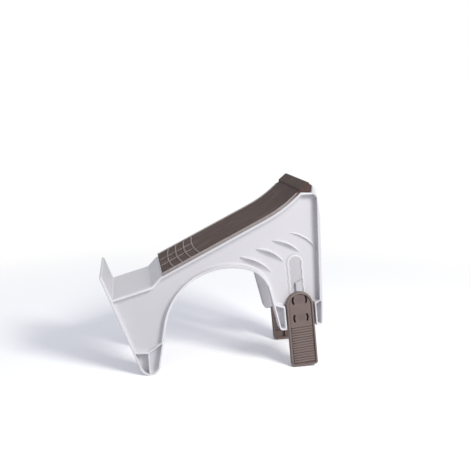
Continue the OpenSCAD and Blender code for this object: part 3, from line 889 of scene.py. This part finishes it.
# The grip ribs: four pale arcs near the mat's lower end that bow towards the heel.
arcs = Growth(
    "grip_ribs", Count=4, First=up_tray(-0.0529), Step=up_step(0.0108), Lean=tray_lean,
    Width=0.0015, Height=0.0018, Bow=0.34, Reach=0.0492, Lift=mat_t / 1000,
)
half_turn = arcs.node("ShaderNodeMath", {"operation": "ARCSINE"}, {0: arcs["Reach"] / arcs["Bow"]})
arc = arcs.node("GeometryNodeCurveArc", {"mode": "RADIUS"}, {
    "Resolution": 41, "Radius": arcs["Bow"],
    "Start Angle": math.pi - half_turn, "Sweep Angle": half_turn * 2})
arc = arcs.moved(arc, X=arcs["Bow"], Z=arcs["Lift"])
grip_ribs = arcs.grown("grip_ribs", arcs.row(arcs.bar(arc)), pale_rubber)
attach(grip_ribs, "stand")

# Two ribs run along the mat across the arcs.
lanes = Growth(
    "lane_ribs", Count=2, First=up_tray(-0.0414, mat_t / 1000, -0.014), Step=(0.0, 0.028, 0.0),
    Lean=tray_lean, Width=0.0015, Height=0.0018, Length=0.042,
)
lane_ribs = lanes.grown("lane_ribs", lanes.row(lanes.bar(lanes.straight("X"))), pale_rubber)
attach(lane_ribs, "stand")

# Four pegs, turned from radii and heights, with a barbed head below the tray.
PEG = [
    (0.3, -8.4), (1.2, -8.3), (2.2, -7.4), (3.1, -5.6), (3.2, -5.2), (3.0, -5.0), (2.5, -4.9), (2.5, -4.4),
    (2.5, 1.2), (0.3, 1.2),
]
peg_along, peg_across, peg_sides = (-60, 40), (-33, 33), 24
peg_verts, peg_faces = [], []
for along in peg_along:
    for across in peg_across:
        rings = []
        for k in range(peg_sides):
            a = 2 * math.pi * k / peg_sides
            ring = [(r * math.cos(a), r * math.sin(a), h) for r, h in PEG]
            rings.append([(
                (along + x) * cos(tray_pitch) - h * sin(tray_pitch), across + y,
                tray_z + (along + x) * sin(tray_pitch) + h * cos(tray_pitch)) for x, y, h in ring])
        first, n = len(peg_verts), len(PEG)
        peg_verts += [p for ring in rings for p in ring]
        for k in range(peg_sides):
            a, b = first + k * n, first + (k + 1) % peg_sides * n
            peg_faces += [(a + i, b + i, b + i + 1, a + i + 1) for i in range(n - 1)]
        peg_faces.append(tuple(first + k * n for k in reversed(range(peg_sides))))
        peg_faces.append(tuple(first + k * n + n - 1 for k in range(peg_sides)))
mat_pegs = piece("mat_pegs", peg_verts, peg_faces, 50)
mat_pegs.data.materials.append(rubber)
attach(mat_pegs, "stand")


# ---- Sliders ------------------------------------------------------------------------
# Two legs in dark brown nylon, one on each side. Each runs in the channel of its wall and is
# held at one of five heights by two studs, split into snap arms, that reach through the
# scalloped slot. A raised border frames a finger grip; the back is cored between ribs.
slide_gap, slider_back, border_w = 0.3, 7.5, 2.1
slider_half = slider_w / 2
arm_r, barb_r, arm_t = slot_half_w - slide_gap, detent_r + 1.4, 1.5
slit_in, slit_out, slit_turn, slit_floor = 7.0, 9.1, 33, 6.6
face_depth, groove_start, groove_pitch, grooves = 0.8, 3.7, 3.06, 15
grip_low, grip_high, grip_half_w, groove_end = 2.4, 48.2, 12.3, 12.4
core_wall, core_depth, stud_hollow_r, dish_r = 2.5, 4.6, 4.6, 6.6
core_rib_y, core_pitch = -0.8, 16
core_ribs_end = core_rib_y + 3 * core_pitch
SLIDER = [
    (-slider_half, 0, slider_corner), (slider_half, 0, slider_corner),
    (slider_half, slider_len, slider_half - 0.01), (-slider_half, slider_len, slider_half - 0.01),
]


def ring_part(height, way, inner, outer, turn, inset=0):
    """A stretch of ring moved inwards by an inset, round a stud: way is 1 right, -1 left."""
    a, b = inner + inset, outer - inset
    low = math.degrees(inset / ((inner + outer) / 2))
    turns = np.linspace(-turn + low, turn - low, 11)
    part = [(b * cos(t), b * sin(t)) for t in turns]
    part += [(a * cos(t), a * sin(t)) for t in np.linspace(turn - low, -turn + low, 11)]
    return [(way * x, height + y) for x, y in part]


stud_heights = [stud_h, stud_h + 2 * detent_pitch]
stud_sides = [(height, way) for height in stud_heights for way in (1, -1)]
slits = [ring_part(height, way, slit_in, slit_out, slit_turn)[::way] for height, way in stud_sides]
outline = divided(rounded(SLIDER, 0, 5), 3)


def slider_depths(points):
    """Depth of the slider's front and back behind the rims of the wall."""
    d, _ = inside(points, outline)
    x, y = points[:, 0], points[:, 1]
    grip = (y > grip_low) & (y < grip_high)
    step = (y - groove_start) / groove_pitch
    nearest = np.round(step)
    line = (step - nearest) * groove_pitch
    deep = np.where(nearest % 2 == 0, 0.85, 0.6)
    in_row = (nearest >= 0) & (nearest < grooves)
    groove = deep * np.exp(-((line / 0.45) ** 2)) * in_row * grip
    hump = 0.3 * (1 - (1 - np.abs(2 * line / groove_pitch)) ** 2) * in_row * grip
    moat = np.where(x > 0, 0.75, 0.3) * np.clip(1.25 - np.abs(d - border_w - 0.6) / 0.45, 0, 1)
    ends = 0.5 * np.clip(1.2 - np.abs(x + groove_end) / 0.8, 0, 1) * np.exp(-((line / 0.8) ** 2)) * grip
    face = face_depth + np.where(moat > 0, np.maximum(moat, groove), groove - hump) + ends
    around = np.minimum.reduce([inside(points, slit)[0] * -1 for slit in slits])
    from_stud = np.minimum.reduce([np.hypot(x, y - h) for h in stud_heights])
    dish = 0.4 * np.clip(1 - (from_stud / dish_r) ** 2, 0, 1) ** 0.7
    face = face + dish + edge_round(np.maximum(around, 0), 0.3)
    face = np.where(around < 0, face + (slit_floor - face) * np.clip(-around / 0.15, 0, 1), face)
    front = slide_gap + edge_round(d, 0.8) + wall(d - border_w, 0.3, 0.2, face)
    across_rib = np.abs((y - core_rib_y + core_pitch / 2) % core_pitch - core_pitch / 2)
    from_rib = np.minimum(across_rib, np.where(y < core_ribs_end, np.abs(x), 99)) - rib_t / 2
    core = np.minimum.reduce([d - core_wall, from_rib, from_stud - slot_half_w, around - 1])
    core = np.maximum(core, stud_hollow_r - from_stud)
    back = slider_back - core_depth * np.clip((core + 0.2) / 0.4, 0, 1) - edge_round(d, 0.6)
    return front, back


def slider_kept(points):
    """Whether points lie on the slider."""
    return inside(points, outline)[0] > 0


loops = [outline] + slits
for height, way in stud_sides:
    for inset in (0.15, -0.3, -0.8, -1.2):
        loops.append(ring_part(height, way, slit_in, slit_out, slit_turn, inset))
border_insets = (0.08, 0.3, 0.8, 1.8, 1.98, 2.1, 2.3, 2.7, 2.82, 3.05, 3.28)
loops += [divided(rounded(SLIDER, inset, 5), 3) for inset in border_insets]
for height in stud_heights:
    for r in (4.4, 4.8, 5.4, 6.2, dish_r):
        loops.append([(r * cos(a), height + r * sin(a)) for a in range(0, 360, 8)])
chains = []
for k in range(grooves):
    y = groove_start + k * groove_pitch
    for off in (-0.9, -0.5, -0.25, 0, 0.25, 0.5, 0.9):
        chains.append([(x, y + off) for x in (-grip_half_w, -6, 0, 6, grip_half_w)])
for y in (grip_low, grip_low + 0.05, grip_high - 0.05, grip_high):
    chains.append([(-grip_half_w, y), (grip_half_w, y)])
for off in (-rib_t / 2 - 0.2, -rib_t / 2 + 0.2, rib_t / 2 - 0.2, rib_t / 2 + 0.2):
    chains.append(divided([(off, 1), (off, core_ribs_end)], 3, False))
    for k in range(1, 6):
        chains.append(divided([(x, core_rib_y + k * core_pitch + off) for x in (-13.2, 13.2)], 3, False))
spots = spread((-15, 1), (15, 88), 1.6) + spread((-13, 46), (13, 88), 0.8)
leg_flat, leg_tris = net(loops, chains, spots, slider_kept)
leg_front, leg_back = slider_depths(leg_flat)
placed_flat = np.array([on_leg(x, y) for x, y in leg_flat])
slider_verts, slider_faces, _ = moulded(placed_flat, leg_tris, leg_front, leg_back)
slider_verts, slider_faces = slider_verts.tolist(), list(slider_faces)


def add_arm(height, way, outer, turn, levels):
    """A closed block of one snap arm, through levels [depth, inset] behind the rims."""
    rings = []
    for depth, inset in levels:
        part = ring_part(height, way, arm_r - arm_t, outer, turn, inset)[::way]
        rings.append([(x, depth - half_w, z) for x, z in (on_leg(*place) for place in part)])
    block, sides = lofted(rings)
    first = len(slider_verts)
    slider_verts.extend(block)
    slider_faces.extend([tuple(first + v for v in f) for f in sides])


barb_at = wall_back + slide_gap
for height, way in stud_sides:
    add_arm(height, way, arm_r, 34, [(2.4, 0), (barb_at + 0.1, 0), (barb_at + 0.3, 0.15)])
    add_arm(height, way, barb_r, 18, [
        (barb_at, 0.2), (barb_at + 0.15, 0), (barb_at + 0.7, 0), (barb_at + 1.1, 0.25),
        (barb_at + arm_t, 0.6)])
nylon = satin(
    "dark_brown_nylon", (0.191, 0.142, 0.129), (0.212, 0.159, 0.144), (0.30, 0.25, 0.23), 0.5, 0.2, 30)

# The same two measures as the shell's: a painted highlight on the slider's rounded border,
# and painted shade in its grooves, moat, slits and dish.
leg_inset, _ = inside(leg_flat, outline)
leg_edge = np.zeros(len(slider_verts))
leg_edge[:len(leg_flat)] = 0.5 * np.clip(1 - np.abs(leg_inset - 1.0) / 1.2, 0, 1)
leg_hollow = np.zeros(len(slider_verts))
leg_hollow[:len(leg_flat)] = np.clip((leg_front - slide_gap - face_depth - 0.12) / 0.5, 0, 1)
for name, side in (("near", 1), ("far", -1)):
    leg = piece(
        name + "_slider_leg", np.array(slider_verts) * (1, side, 1), [f[::side] for f in slider_faces], 30,
        edge=leg_edge, hollow=leg_hollow,
    )
    leg.data.materials.append(nylon)
    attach(leg, name + "_leg")
    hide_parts(name + "_slider")
